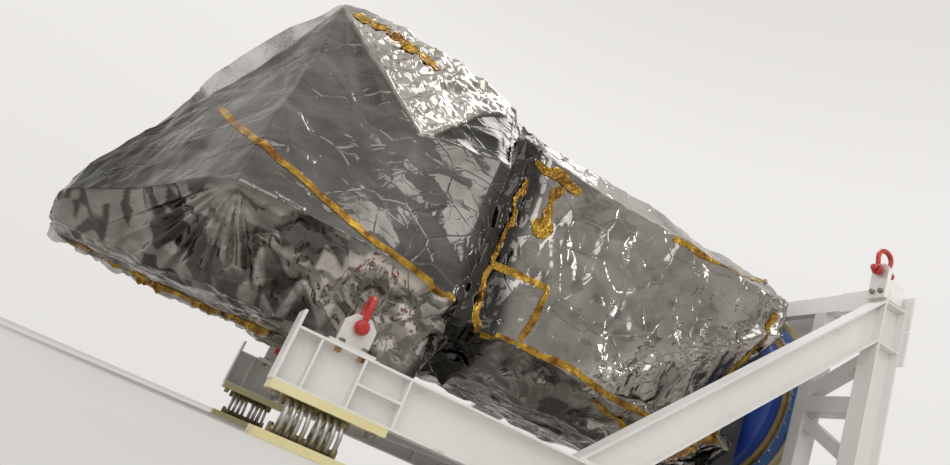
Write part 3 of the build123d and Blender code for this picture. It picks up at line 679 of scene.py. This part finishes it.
def with_neck(body, _):
    """A round neck after the rows, into which the film is gathered."""
    neck_x, neck_radius, neck_rows = 1.700, 0.350, 9
    angle = np.arctan2(body[-1][:, 2] - AXIS_Z, body[-1][:, 1])
    neck = np.stack([np.full(len(angle), neck_x), neck_radius * np.cos(angle),
                     AXIS_Z + neck_radius * np.sin(angle)], axis=1)
    return np.concatenate([body, between(body[-1], neck, neck_rows)])


def make_sheets(part, table, xs, drop, counts, sags, creases, folds, completed, material):
    """The left and the right sheet of one part of the bag."""
    even, coarse = np.linspace(xs[0], xs[-1], 80), (16, 16, 34, 16, 10)
    sample = np.array([half_sheet(table, even, drop, LIFT, coarse, side)[0]
                       for side in SIDES.values()]).reshape(-1, 3)
    kinds = [Creases(sample, *kind) for kind in creases]
    sheets = []
    for word, side in SIDES.items():
        body, corner = half_sheet(table, xs if side < 0 else xs[::2], drop, LIFT, counts[side],
                                  side, sags)
        sheets.append(film_sheet(f"bag_film_{part}_{word}", softened(completed(body, side), 2),
                                 corner, side, kinds, folds, material))
    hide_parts(f"bag_{part}")
    return sheets


def make_bag(material):
    """The four sheets of film. Their grids' rows are closer where the film turns."""
    forward = np.concatenate([np.linspace(-1.950, -1.905, 9)[:-1],
                              np.linspace(-1.905, -0.330, 204)[:-1],
                              np.linspace(-0.330, -0.265, 10)])
    aft = np.concatenate([np.linspace(-0.255, 1.565, 216)[:-1], np.linspace(1.565, 1.685, 14)])
    return [*make_sheets("forward", FORWARD, forward, FORWARD_DROP, FORWARD_COUNTS, FORWARD_SAGS,
                         FORWARD_CREASES, forward_folds, with_nose_and_step, material),
            *make_sheets("aft", AFT, aft, AFT_DROP, AFT_COUNTS, AFT_SAGS, AFT_CREASES, aft_folds,
                         with_neck, material)]


# Each tape's name, its width, how crumpled it is, and points on the near side's film, which
# are in centimetres
TAPES = (
    ("long_tape", 0.034, 0.15, ((-155, -30, 125), (-144, -49, 115), (-133, -67, 107),
        (-119, -75, 101), (-106, -78, 97), (-89, -83, 92), (-72, -90, 87), (-57, -89, 84),
        (-42, -87, 81), (-30, -87, 80))),
    ("front_hem_tape", 0.06, 1, ((-190, 3, 48), (-169, 8, 46), (-156, 11, 45), (-142, 8, 45),
        (-130, 12, 46), (-120, 12, 46), (-105, 14, 46), (-84, 15, 47), (-66, 11, 47))),
    ("step_blotch", 0.085, 1.3, ((-3, -62, 170), (7, -63, 169))),
    ("step_tape_high", 0.05, 1.3, ((-14, -61, 169), (-7, -61, 169), (3, -62, 170), (9, -63, 169),
        (17, -64, 168))),
    ("step_tape_mid", 0.04, 1.2, ((6, -63, 164), (3, -62, 158), (4, -62, 141))),
    ("step_blotch_low", 0.085, 1.6, ((-1, -62, 137), (10, -62, 140))),
    ("step_tape_low", 0.028, 1.8, ((-13, -62, 159), (-14, -65, 146), (-12, -64, 134),
        (-13, -64, 118), (-12, -64, 111))),
    ("ridge_tape", 0.06, 1, ((-123, -11, 216), (-119, -12, 215), (-105, -20, 213), (-91, -29, 208),
        (-82, -34, 204), (-73, -39, 198))),
    ("patch_tape", 0.036, 0.3, ((-12, -64, 111), (2, -63, 112), (17, -63, 112), (17, -63, 97),
        (15, -64, 84))),
    ("patch_tape_fore", 0.034, 0.4, ((-12, -64, 111), (-13, -64, 100), (-12, -65, 85), (-6, -61, 79))),
    ("aft_hem_tape", 0.036, 0.35, ((-5, -61, 79), (6, -64, 81), (14, -64, 82), (29, -64, 82),
        (39, -63, 83), (57, -62, 81), (69, -62, 80), (79, -62, 80), (110, -60, 80))),
    ("aft_lower_tape", 0.03, 0.6, ((61, -58, 77), (74, -55, 74), (83, -53, 73), (99, -49, 71))),
    ("aft_top_tape", 0.034, 0.5, ((76, -63, 173), (98, -64, 173), (125, -59, 177), (151, -44, 186),
        (160, -43, 184))),
    ("aft_edge_tape", 0.036, 0.6, ((158, -56, 170), (154, -60, 164), (150, -60, 154),
        (148, -60, 141), (145, -61, 118), (143, -61, 108))),
    ("aft_low_tape", 0.11, 1.3, ((143, -61, 108), (141, -63, 93), (136, -60, 83), (133, -54, 74),
        (124, -44, 66))),
)


def tree_of_sheets(sheets):
    """One search tree over several sheets' meshes."""
    points, faces = [], []
    for sheet in sheets:
        start = len(points)
        points += [v.co.copy() for v in sheet.data.vertices]
        faces += [[start + i for i in p.vertices] for p in sheet.data.polygons]
    return BVHTree.FromPolygons(points, faces)


def strip_mesh(name, grid, material, thickness):
    """A strip of tape or a seam from a grid of points."""
    strip = add_mesh(name, grid.reshape(-1, 3), grid_faces(*grid.shape[:2], closed=False),
                     material, smooth=False)
    solid = strip.modifiers.new("thickness", "SOLIDIFY")
    solid.thickness, solid.offset = thickness, 0.0
    return strip


def tape_strip(name, tree, knots, width, crumple, material, seed):
    """A strip laid on the film from knot to knot, following its folds."""
    rng = np.random.default_rng(seed)
    spacing, across, stand_off, end_taper = 0.009, 6, 0.0016, 0.018
    knots = np.array(knots) / 100
    along = lengths_along(knots)
    count = max(4, int(along[-1] / spacing))
    line = np.stack([np.interp(np.linspace(0, along[-1], count), along, knots[:, k])
                     for k in range(3)], axis=1)
    line[:, 2] += crumple * 0.006 * np.cumsum(rng.normal(0, 0.35, count)).clip(-2, 2)
    tangent = unit(np.gradient(line, axis=0))
    bends = rng.normal(0, 1, max(2, count // 5)).clip(-1.6, 1.6)
    wide = width * (1 + crumple * 0.28 * spread_out(bends, steps(count)))
    to_end = along[-1] * np.minimum(steps(count), np.linspace(1, 0, count))
    wide = wide * (1 - min(0.6, 0.4 * crumple) * np.exp(-to_end / end_taper))
    rows = []
    for i in range(count):
        spot, normal, _, _ = tree.find_nearest(Vector(line[i]))
        side = unit(np.cross(normal, tangent[i]))
        row = []
        for j in range(across + 1):
            aim = Vector(np.array(spot) + side * wide[i] * (j / across - 0.5))
            there, out, _, _ = tree.find_nearest(aim)
            lift = stand_off + crumple * 0.004 * rng.random()
            row.append(np.array(there) + np.array(out) * lift)
        rows.append(row)
    return strip_mesh(name, np.array(rows), material, 0.0005)


def make_tapes(sheets, material):
    """Every tape on its sheet, and on the far side its mirror image. The front hem's tape
    runs along the keel, so it follows both forward sheets and has none."""
    near, far, forward = map(tree_of_sheets, (sheets[::2], sheets[1::2], sheets[:2]))
    strips = {sheet.name: [] for sheet in sheets}
    for i, (name, width, crumple, knots) in enumerate(TAPES):
        keel = name == "front_hem_tape"
        part = "forward" if knots[0][0] < -25 else "aft"
        strips[f"bag_film_{part}_left"].append(
            tape_strip(name, forward if keel else near, knots, width, crumple, material, 100 + i))
        if not keel:
            mirrored = [(x, -y, z) for x, y, z in knots]
            strips[f"bag_film_{part}_right"].append(
                tape_strip(f"{name}_right", far, mirrored, width, crumple, material, 200 + i))
    return strips


def seam_strip(name, rows, upward, widths, ragged, material, seed):
    """The two sheets' edges, taped back to back, stand off the bag along a line in the
    plane of X and Z."""
    rng = np.random.default_rng(seed)
    rows = np.array(rows)
    first, last = rows[0, 0], rows[-1, 0]
    xs = np.linspace(first, last, max(60, int(130 * (last - first))))
    z = softened(np.interp(xs, rows[:, 0], rows[:, 1])[None], 3)[0]
    slope = np.gradient(z, xs)
    out = unit(np.stack([-slope, np.ones_like(slope)], axis=1) * upward)
    wander = spread_out(rng.normal(0, 1, 30), xs)
    ripple = spread_out(rng.normal(0, 1, 90), xs)
    width = widths(xs) * (1 + ragged * (wander + 0.5 * ripple).clip(-1.5, 1.5))
    columns = [np.stack([xs + out[:, 0] * width * t, t * (0.008 * ripple + 0.014 * wander) - 0.004,
                         z - 0.003 * upward + out[:, 1] * width * t], axis=1)
               for t in np.arange(8) / 7]
    grid = np.array(columns).transpose(1, 0, 2)
    return strip_mesh(name, grid, material, 0.0004), xs, grid


def seam_patch(name, xs, grid, start, end, reach, material, seed):
    """A ragged blotch of tape folded over a stretch of a seam, down to a share of its
    width."""
    rng = np.random.default_rng(seed)
    rows = grid[(xs > start) & (xs < end)]
    along = steps(len(rows))
    bulge = reach * (0.3 + 0.7 * np.sin(pi * along) ** 0.5) * (
        1 + 0.5 * spread_out(rng.uniform(-1, 1, 7), along))
    share = (np.linspace(-0.12, 1, 5) * bulge.clip(0.05, 1.1)[:, None])[..., None]
    rows = rows[:, :1] * (1 - share) + rows[:, -1:] * share
    rows[..., 1] += rng.uniform(-0.0008, 0.0008, rows.shape[:2])
    return strip_mesh(name, rows, material, 0.0012)


def make_seams(materials):
    """The seams along the top and under the nose, one film thick, and the second's tape."""
    ridge = [(row[0], row[4][1] + LIFT) for row in FORWARD if row[0] > -1.94]
    ridge += [(-0.195, 1.941), (0.400, 1.930)]

    def ridge_width(x):
        width = 0.040 + 0.062 * rise(-1.74, -1.60, x) * fall(-1.46, -1.33, x)
        return width * rise(-1.88, -1.72, x) * fall(0.10, 0.38, x)

    def keel_width(x):
        width = 0.030 + 0.014 * np.exp(-((x + 1.90) / 0.04) ** 2)
        return width * (0.25 + 0.75 * rise(-1.95, -1.91, x)) * (1 - 0.9 * rise(-0.95, -0.75, x))

    keel = [(row[0], row[1][1] - FORWARD_DROP) for row in FORWARD if row[0] < -0.7]
    top, _, _ = seam_strip("bag_top_seam", ridge, 1, ridge_width, 0.12, materials["seam"], 77)
    low, xs, grid = seam_strip("bag_keel_seam", keel, -1, keel_width, 0.3, materials["flange"], 78)
    spans = ((-1.93, -1.66, 0.22), (-1.69, -1.52, 0.40), (-1.56, -1.34, 1.0), (-1.40, -1.22, 0.45),
             (-1.26, -1.02, 0.9), (-1.06, -0.80, 1.0))
    patches = [seam_patch(f"keel_tape_{i}", xs, grid, *span, materials["tape"], 300 + i)
               for i, span in enumerate(spans, 1)]
    return [top, low, *patches]


# Shackles


def bow_path():
    """Half the middle line of a bow in its own plane, then its mirror image."""
    leg, crown, centre = 0.0342, 0.0467, 0.0760
    touch = atan2(-centre, leg) + acos(crown / hypot(leg, centre))
    arc = [(crown * cos(a), centre + crown * sin(a))
           for a in np.linspace(touch, pi - touch, 28)[:14]]
    y, z = arc[0]
    half = [(leg + (y - leg) * t, z * t) for t in steps(9)[:-1]] + arc
    return [(0.0, y, z) for y, z in half + [(-y, z) for y, z in half[::-1]]]


def shackle_bow(place):
    """The forged bow, thicker at its crown, and an ear at each end."""
    bar, ear_start = 0.0127, 0.0215
    path = np.array(bow_path())
    heap = Heap()
    heap.place(tube(path, bar * (1 + 0.10 * rise(0.09, 0.125, path[:, 2:])), 20), place)
    profile = [(0.0146, 0.0), (0.024, 0.0), (0.0285, 0.004), (0.030, 0.010), (0.030, 0.020),
               (0.0285, 0.026), (0.024, 0.030), (0.0146, 0.030)]
    for way in (-1, 1):
        heap.place(turned(profile, 40, hollow=True),
                   place @ pointing((0, way * ear_start, 0), (0, way, 0)))
    return heap


def shackle_bolt(place):
    """The pin with its round head and its nut."""
    pin = turned([(0.0125, -0.0535), (0.0143, -0.0515), (0.0143, 0.0565), (0.0125, 0.0755)], 28)
    head = turned([(0.0205, 0), (0.0238, 0.0025), (0.024, 0.010), (0.0215, 0.0150),
                   (0.0150, 0.0178), (0.006, 0.0185)], 32)
    nut = turned([(0.0172, 0), (0.0195, 0.002), (0.0195, 0.015), (0.0165, 0.018), (0.0143, 0.0185)], 6)
    heap = Heap()
    for shape, y, way in ((pin, 0, 1), (head, -0.0515, -1), (nut, 0.0518, 1)):
        heap.place(shape, place @ pointing((0, y, 0), (0, way, 0)))
    return heap


def make_shackles(material):
    for end, (which, side) in product(("front", "rear"), SIDES.items()):
        pin, angle = (FRONT_PIN, 0 if side < 0 else pi) if end == "front" else (
            REAR_PIN, pi / 2)
        place = Matrix.Translation((pin[0], side * pin[1], pin[2])) @ Matrix.Rotation(angle, 4, "Z")
        body = f"{end}_{which}_shackle"
        bow = shackle_bow(place).made(f"{body}_forged_bow", material, body)
        bolt = shackle_bolt(place).made(f"{body}_bolt", material, body, False)
        for piece, node in ((bow, f"{body}_bow"), (bolt, f"{body}_pin")):
            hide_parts(node)


# Isolators

# The lower bar's underside, and over it the ropes' levels in the two bars; then the step from
# turn to turn, and where along X the two coils start
ROPE_BASE, ROPE_LOW, ROPE_TOP, ROPE_STEP = 0.032, 0.0125, 0.1205, 0.014
COIL_STARTS = (-0.112, 0.014)


def rope_path(first):
    """One coil's middle line: across the bars, half circles between them."""
    half, turns = 0.016, 7
    step, top, low = ROPE_STEP, ROPE_TOP, ROPE_LOW
    mid, reach = (top + low) / 2, (top - low) / 2
    path = [(first, half, top), (first, 0.0, top)]
    for turn in range(turns):
        down = turn % 2 == 0
        x, way = first + turn * step, -1 if down else 1
        for a in np.linspace(0, pi, 25):
            z = mid + reach * cos(a) * (1 if down else -1)
            path.append((x + step * a / pi, way * (half + reach * sin(a)), z))
        path.append((x + step, 0.0, low if down else top))
    path.append((first + turns * step, half, low))
    return path


def wire_rope(path):
    """Six strands laid round the path."""
    segment, lay, sides, valley, strand = 0.0036, 0.075, 24, 0.0066, 0.0026
    path = np.array(path)
    fine = [path[0]]
    for one, two in zip(path, path[1:]):
        count = max(1, int(np.linalg.norm(two - one) / segment))
        fine += [one + (two - one) * (i + 1) / count for i in range(count)]
    fine = np.array(fine)
    angle = (2 * pi * np.arange(sides)[None, :] / sides
             - lengths_along(fine)[:, None] * (2 * pi / lay))
    radius = valley + strand * np.abs(np.cos(3 * angle)) ** 0.8
    return tube(fine, radius, sides)


def rope_collars(x, y):
    """Washers round the ropes where they enter the bars, on each bar's left at one turn and
    on its right at the next."""
    bar_face = 0.0155
    heap = Heap()
    for low, first, turn, way in product((True, False), COIL_STARTS, range(8), (-1, 1)):
        if turn % 2 == (low == (way > 0)):
            level = ROPE_BASE + (ROPE_LOW if low else ROPE_TOP)
            spot = (x + first + turn * ROPE_STEP, y + way * bar_face, level)
            heap.place(washer(0.0118, 0.0026), pointing(spot, (0, way, 0)))
    return heap


def bar_bolts(x, y):
    from_middle, bolt = 0.124, hex_head(0.019, 0.009)
    heap = Heap()
    for way, (level, up) in product((-1, 1), ((0.025, 1), (0.108, -1))):
        heap.place(bolt, pointing((x + way * from_middle, y, ROPE_BASE + level), (0, 0, up)))
    return heap


def make_isolators(materials):
    coils = [wire_rope(rope_path(first)) for first in COIL_STARTS]
    lo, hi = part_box("isolator_lower_plates")
    half_plate = 0.184
    ends = {"front": lo.x + half_plate, "rear": hi.x - half_plate}
    for (word, side), (end, x) in product(SIDES.items(), ends.items()):
        name, y = f"{end}_{word}", side * RAIL_Y
        heap = Heap()
        for coil in coils:
            heap.place(coil, Matrix.Translation((x, y, ROPE_BASE)))
        ropes = heap.made(f"{name}_wire_ropes", materials["rope"])
        if name == "front_left":
            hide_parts("isolator_ropes")
        rope_collars(x, y).made(f"{name}_rope_collars", materials["bolt"])
        bar_bolts(x, y).made(f"{name}_bar_bolts", materials["bolt"], smooth=False)


# Fasteners and rings


def make_fasteners(materials):
    """The front lugs' bolts and nuts, the upper plates' bolts and the rear lugs' bolts."""
    front_lug, rear_lug, half_plate = 0.0127, 0.0254, 0.2275
    lug_bolt, lug_nut = hex_head(0.024, 0.013), hex_head(0.024, 0.016)
    plate_bolt = hex_head(0.022, 0.022)
    lo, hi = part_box("isolator_upper_plates")
    lug_holes = list(product((-0.047, 0.047), (-0.036, 0.036)))
    plate_holes = list(product((lo.x + half_plate, hi.x - half_plate), (-0.19, 0.19),
                               (-0.045, 0.045)))
    heads, nuts = Heap(), Heap()
    for side in (-1, 1):
        y = side * RAIL_Y
        for dx, dy in lug_holes:
            spot = (FRONT_PIN[0] + dx, y + dy)
            heads.place(lug_bolt, pointing((*spot, RAIL_TOP + front_lug), (0, 0, 1)))
            nuts.place(lug_nut, pointing((*spot, RAIL_TOP - FLANGE), (0, 0, -1)))
        for x, dx, dy in plate_holes:
            heads.place(plate_bolt, pointing((x + dx, y + dy, lo.z), (0, 0, -1)))
        for dy in (-0.024, 0.024):
            spot = (COLUMN_X - rear_lug, y + dy, COLUMN_TOP - 0.028)
            heads.place(lug_bolt, pointing(spot, (-1, 0, 0)))
    heads.made("lug_bolts", materials["bolt"], smooth=False)
    nuts.made("flange_nuts", materials["nut"], smooth=False)


def make_ring_bolts(material):
    heap = Heap()
    for count, radius, x, size in ((40, 0.552, 1.847, 0.015), (24, 0.475, 1.769, 0.012)):
        for i in range(count):
            a = 2 * pi * (i + 0.5) / count
            spot = (x, radius * cos(a), AXIS_Z + radius * sin(a))
            heap.place(hex_head(size, size * 0.6), pointing(spot, (-1, 0, 0)))
    heap.made("ring_bolts", material, smooth=False)


def hoop(inner, outer):
    """A flat hoop about Z with its outer edge eased."""
    thick, ease = 0.003, 0.0006
    return turned([(inner, 0.0), (inner, thick), (outer - ease, thick), (outer, thick - ease),
                   (outer, 0.0)], 128, hollow=True)


def make_ring_hoops(materials):
    """Brass, dark and bare hoops over the face of the clamp ring."""
    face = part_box("light_blue_ring")[0].x
    for name, inner, outer, key in (("clamp_brass_hoop", 0.5135, 0.527, "brass"),
                                    ("clamp_dark_hoop", 0.5275, 0.533, "bolt"),
                                    ("clamp_bare_hoop", 0.5335, 0.543, "bright")):
        heap = Heap()
        heap.place(hoop(inner, outer), pointing((face, 0, AXIS_Z), (-1, 0, 0)))
        heap.made(name, materials[key], smooth=False)


# The finish of each CAD part that isn't bare like the lugs or painted white
FINISHES = {"skin": ("spacecraft_bus", "payload_module"), "bar": ("isolator_bars",),
            "plate": ("isolator_upper_plates", "isolator_lower_plates"), "cream": ("cream_ring",),
            "sky": ("light_blue_ring",), "navy": ("adapter_cone",), "band": ("clamp_band",),
            "grey": ("ring_plate", "knee_braces", "side_beams", "inner_posts")}


def dress_frame(materials):
    """Materials for every CAD part, with the edges of those that show eased."""
    finishes = {name: key for key, names in FINISHES.items() for name in names}
    for name, node in NODES.items():
        key = finishes.get(name, "raw" if name.endswith("_lug") else "white")
        if not node.material_slots:
            node.data.materials.append(materials[key])
        for place in node.material_slots:
            place.material = materials[key]
        if node.hide_render:
            continue
        weld = node.modifiers.new("weld", "WELD")
        weld.merge_threshold = 0.00002
        bevel = node.modifiers.new("bevel", "BEVEL")
        bevel.width, bevel.segments = 0.0014, 2
        bevel.limit_method, bevel.angle_limit = "ANGLE", radians(40)
        bevel.harden_normals = True


# Stage


def make_floor():
    reach = 300.0
    corners = [(x * reach, y * reach, 0.0) for x, y in ((-1, -1), (1, -1), (1, 1), (-1, 1))]
    add_mesh("floor", corners, [(0, 1, 2, 3)], floor_paint(), smooth=False, rides=False)


def make_world():
    """Pale all round, with a darker band above the horizon on the camera's side, which the
    film mirrors."""
    world = bpy.data.worlds.new("studio")
    bpy.context.scene.world = world
    world.use_nodes = True
    tree = world.node_tree
    place = add_node(tree, "ShaderNodeTexCoord").outputs["Generated"]
    parts = add_node(tree, "ShaderNodeSeparateXYZ", {0: place}).outputs
    shift = add_node(tree, "ShaderNodeMath", {0: parts["Y"], 1: 0.5, 2: 0.5},
                     operation="MULTIPLY_ADD").outputs[0]
    behind = ((0.0, (0.62, 0.61, 0.59)), (0.40, (0.60, 0.59, 0.57)),
              (0.62, (0.36, 0.35, 0.335)), (1.0, (0.78, 0.77, 0.75)))
    ahead = ((0.0, (0.78, 0.76, 0.74)), (0.5, (0.87, 0.85, 0.83)),
             (0.8, (0.70, 0.68, 0.66)), (1.0, (0.78, 0.77, 0.75)))
    blend = add_node(tree, "ShaderNodeMix", {
        0: colour_ramp(tree, shift, ((0.35, BLACK), (0.60, WHITE))),
        6: colour_ramp(tree, parts["Z"], behind),
        7: colour_ramp(tree, parts["Z"], ahead)}, data_type="RGBA")
    tree.links.new(blend.outputs[2], tree.nodes["Background"].inputs["Color"])


def make_lamps():
    for name, place, aim, size, power in (
            ("key", (-4.0, -9.0, 7.0), (0.0, 0.0, 0.9), 9.0, 370),
            ("top", (0.4, 0.4, 6.0), (0.2, 0.0, 0.8), 2.2, 62),
            ("side", (5.0, -3.0, 4.2), (0.6, 0.0, 1.0), 1.0, 22)):
        data = bpy.data.lights.new(name, "AREA")
        data.shape, data.size, data.energy = "SQUARE", size, power
        lamp = add_object(name, data)
        lamp.location = place
        lamp.rotation_mode = "QUATERNION"
        lamp.rotation_quaternion = (Vector(aim) - Vector(place)).to_track_quat("-Z", "Y")


make_camera()
MATERIALS = make_materials()
SHEETS = make_bag(MATERIALS["film"])
STRIPS = make_tapes(SHEETS, MATERIALS["tape"])
SEAMS = make_seams(MATERIALS)
make_shackles(MATERIALS["red"])
make_isolators(MATERIALS)
make_fasteners(MATERIALS)
make_ring_bolts(MATERIALS["bright"])
make_ring_hoops(MATERIALS)
dress_frame(MATERIALS)
make_floor()
make_world()
make_lamps()
bpy.context.scene.view_settings.view_transform = "Standard"
